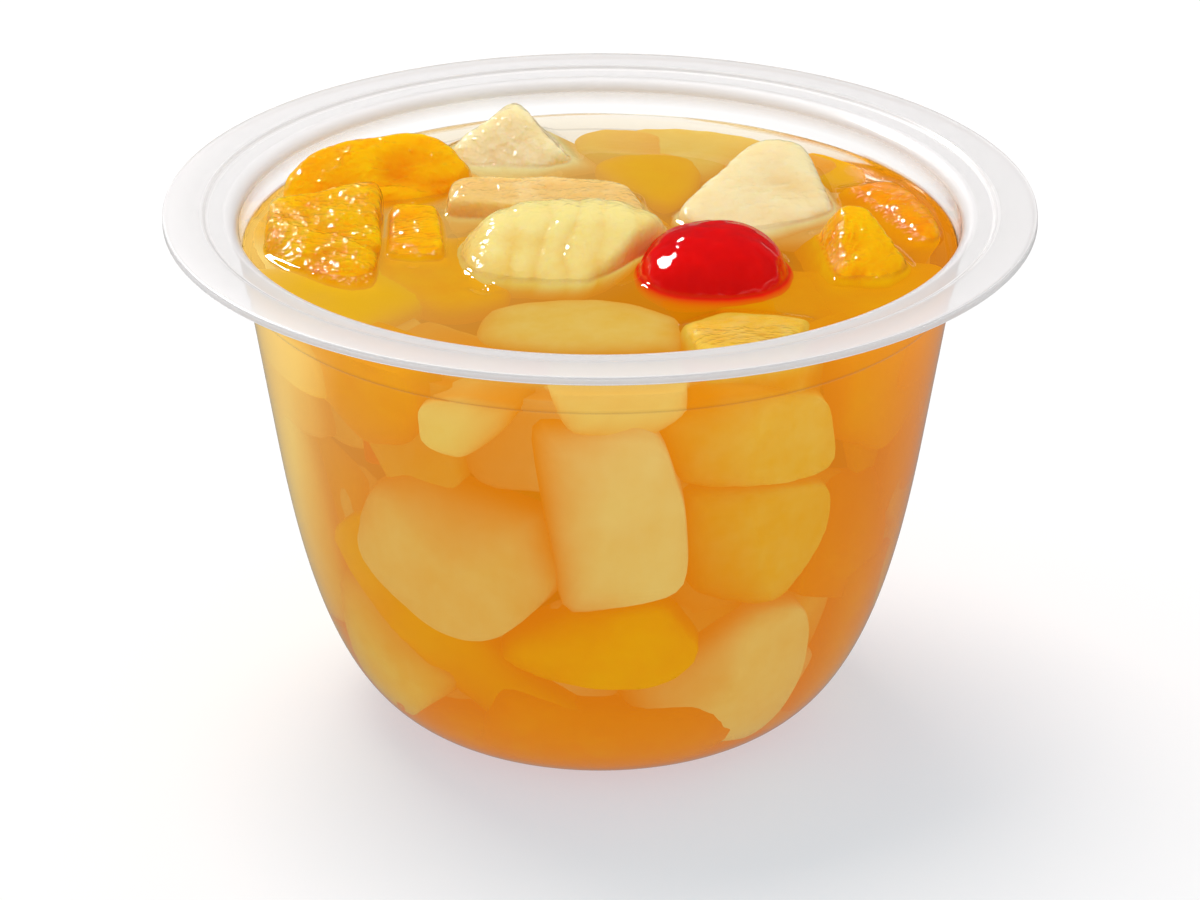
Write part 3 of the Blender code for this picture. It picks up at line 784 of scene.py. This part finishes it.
def surface_piece(x, y, depth, thickness, cuts, hardness=6.0):
    """A piece under the surface, its cuts upright and its top at its depth, with its fade as well."""
    own_cuts = [(angle, 0.0, distance) for angle, distance in cuts]
    own_cuts += [(0.0, 90.0, thickness / 2), (0.0, -90.0, thickness / 2)]
    own = sunk_directions * reach(sunk_directions, own_cuts, hardness=hardness)[:, None]
    fade = 0.6 * np.exp(-np.maximum(to_side(own, cuts), 0.0) / EDGE_FADE)
    return press(np.array([x, y, LEVEL - depth - thickness / 2]) + own, PRESSED), fade


chance = np.random.default_rng(7)
sunk = {kind: [] for kind in FLESH}
for kind, azimuth, height, depth, tone, lean, cuts in AT_WALL:
    sunk[kind].append((*wall_piece(azimuth, height, depth, lean, cuts), tone))
for kind, x, y, depth, thickness, tone, cuts in UNDER_SURFACE:
    sunk[kind].append((*surface_piece(x, y, depth, thickness, cuts), tone))
# The far side is filled in rows, and so is a second layer behind the front, with pieces of mixed kinds and
# random cuts.
for start, end, depth in ((-8.0, 195.0, 0.2), (-165.0, -15.0, 3.3)):
    for height in (9.0, 20.0, 32.0, 44.0):
        for azimuth in np.arange(start, end, 19.0):
            kind = chance.choice(["peach", "peach", "pear", "pineapple", "peach", "pear", "pineapple"])
            angles = np.linspace(0.0, 360.0, 6)[:-1] + chance.uniform(-20.0, 20.0, 5)
            cuts = list(zip(angles, chance.uniform(5.5, 8.5, 5)))
            lean = (chance.uniform(0.0, 360.0), chance.uniform(0.0, 0.25))
            place = np.array([azimuth, height, depth]) + chance.uniform((-4.0, -2.0, 0.0), (4.0, 2.0, 1.2))
            sunk[kind].append((*wall_piece(*place, lean, cuts), chance.uniform(0.1, 0.9)))
for number, (kind, pieces) in enumerate(sunk.items()):
    points, faces, tones = [], [], []
    fades = np.concatenate([fade for piece, fade, tone in pieces])
    for piece, fade, tone in pieces:
        relief = RELIEF[kind](piece, 200 + 10 * number + len(faces), (0.3, 1.0, 0.4)) * 0.5
        inward = piece - piece.mean(0)
        inward /= np.linalg.norm(inward, axis=1)[:, None]
        shaped = press(piece + inward * relief[:, None], PRESSED)
        faces.append(sunk_faces + len(points) * len(sunk_directions))
        points.append(shaped)
        tones.append(np.full(len(shaped), tone))
    points = np.vstack(points)
    measures = {"tone": np.concatenate(tones), "torn": np.full(len(points), 0.3), **under_syrup(points)}
    off_base = np.clip((points[:, 2] - BASE_HEIGHT - 1.5) / 2.5, 0.0, 1.0)
    measures["veil"] = 1.0 - (1.0 - measures["veil"]) * (1.0 - fades) * off_base
    lay_mesh("sunk_" + kind, points, np.vstack(faces).tolist(), FLESH[kind], (), measures)


# ----------------------------------------------------------------------------------------------------------
# The syrup: clear at its skin and cloudy in its depth. The skin reaches just into the wall, climbs the wall
# and each piece in a meniscus, and shines; the cloudy heart is a softly coloured body that hides the middle.

SKIN_TURNS = 384
SKIN_RINGS = 120
HEART_GLOW = 0.88
INTO_WALL = 0.15
WALL_CLIMB = 0.85
WALL_CLIMB_REACH = 1.5
FRUIT_CLIMB = 0.55
FRUIT_CLIMB_REACH = 0.7
# Where syrup is drawn up over fruit that only just reaches the surface: X, Y and radius.
DRAWN_OVER = [
    (-36.0, 8.5, 3.5), (-12.5, -11.0, 2.0), (-20.5, -2.5, 2.0), (14.0, -27.0, 2.5), (33.5, 11.0, 2.5)]


def surface_height(x, y):
    """The syrup's surface: level, with a slow unevenness, and an exponential climb to the wall and to every
    piece that stands out of it, the strongest climb winning softly."""
    level = np.stack([x, y, np.full_like(x, LEVEL)], -1)
    gap = wall_radius(np.array([LEVEL]))[0] - np.hypot(x, y)
    climbs = WALL_CLIMB * np.exp(-np.maximum(gap, 0.0) / WALL_CLIMB_REACH)
    total = climbs**3
    for fruit in STANDING.values():
        offset = level - np.array(fruit["centre"])
        distance = np.linalg.norm(offset, axis=1)
        edge = reach(offset / distance[:, None], fruit["cuts"], fruit.get("skin"), fruit.get("egg"))
        climb = FRUIT_CLIMB * np.exp(-np.maximum(distance - edge, 0.0) / FRUIT_CLIMB_REACH)
        total += climb**3
    drawn = sum(np.exp(-((x - at_x) ** 2 + (y - at_y) ** 2) / size**2) for at_x, at_y, size in DRAWN_OVER)
    return LEVEL + total ** (1 / 3) + 0.05 * ripples(level, 14.0, 5) + 0.20 * drawn * ripples(level, 2.2, 9)


def syrup_finish():
    """Light syrup: its top bends what is behind it and shines. Its side is in the wall, which bends light as
    it does, so there it only tints."""
    finish = Finish("syrup")
    top = finish.add("BsdfPrincipled", {
        "Base Color": (0.99, 0.97, 0.90), "Roughness": 0.01, "IOR": 1.34, "Transmission Weight": 1.0})
    side = finish.add("BsdfTransparent", {"Color": (0.98, 0.93, 0.82)})
    liquid = finish.add("MixShader", {0: finish.measure("side"), 1: top, 2: side})
    return finish.close(finish.lit_through(liquid, (0.98, 0.975, 0.97)))


# Painted light: the cloudy heart is a black body whose colour is all emission, standing in for the light
# scattered in the cloudy syrup.
def heart_finish():
    """Cloudy syrup: it glows softly with the light that has soaked into it, in big slow drifts."""
    finish = Finish("cloudy_syrup")
    drift = finish.noise(16.0, detail=1.5) * 0.5 - 0.25
    colour = syrup_colour(finish, finish.measure("soak") + drift)
    return finish.close(finish.add("BsdfPrincipled", {
        "Base Color": (0.0, 0.0, 0.0), "Emission Color": finish.scale(colour, finish.measure("lit")),
        "Emission Strength": HEART_GLOW, "Roughness": 0.6, "Specular IOR Level": 0.0}))


side = wall_line(WALL - INTO_WALL, LEVEL + WALL_CLIMB)
side_line = np.vstack([(0.0, side[0][1]), side])
top_radii = np.linspace(side[-1][0], 0.0, SKIN_RINGS)
top_line = np.column_stack([top_radii[1:], np.full(SKIN_RINGS - 1, LEVEL)])
skin_points, skin_faces = turned(np.vstack([side_line, top_line]), SKIN_TURNS)
on_top = np.hypot(skin_points[:, 0], skin_points[:, 1]) < side[-1][0] - 0.01
on_top &= skin_points[:, 2] > LEVEL - 0.01
skin_points[on_top, 2] = surface_height(skin_points[on_top, 0], skin_points[on_top, 1])
lay_mesh("syrup_skin", skin_points, skin_faces, syrup_finish(), ("syrup",),
         {"side": ~on_top}, sharp=60)

HEART_BEHIND_WALL = 4.6
HEART_TOP = LEVEL - 3.0
heart_side = wall_line(WALL + HEART_BEHIND_WALL, HEART_TOP)
heart_side = heart_side[heart_side[:, 1] < HEART_TOP - 2.0]
heart_line = np.vstack([
    (0.0, heart_side[0][1]), heart_side,
    np.column_stack([np.linspace(heart_side[-1][0] - 0.6, 0.0, 40), np.full(40, HEART_TOP - 1.0)])])
heart_points, heart_faces = turned(heart_line, 160)
heart_points *= 1.0 + 0.008 * ripples(heart_points, 13.0, 31)[:, None]
shares = under_syrup(heart_points)
lay_mesh("syrup_heart", heart_points, heart_faces, heart_finish(), ("syrup",),
         {"soak": shares["soak"], "pale": shares["pale"], "lit": shares["lit"]})
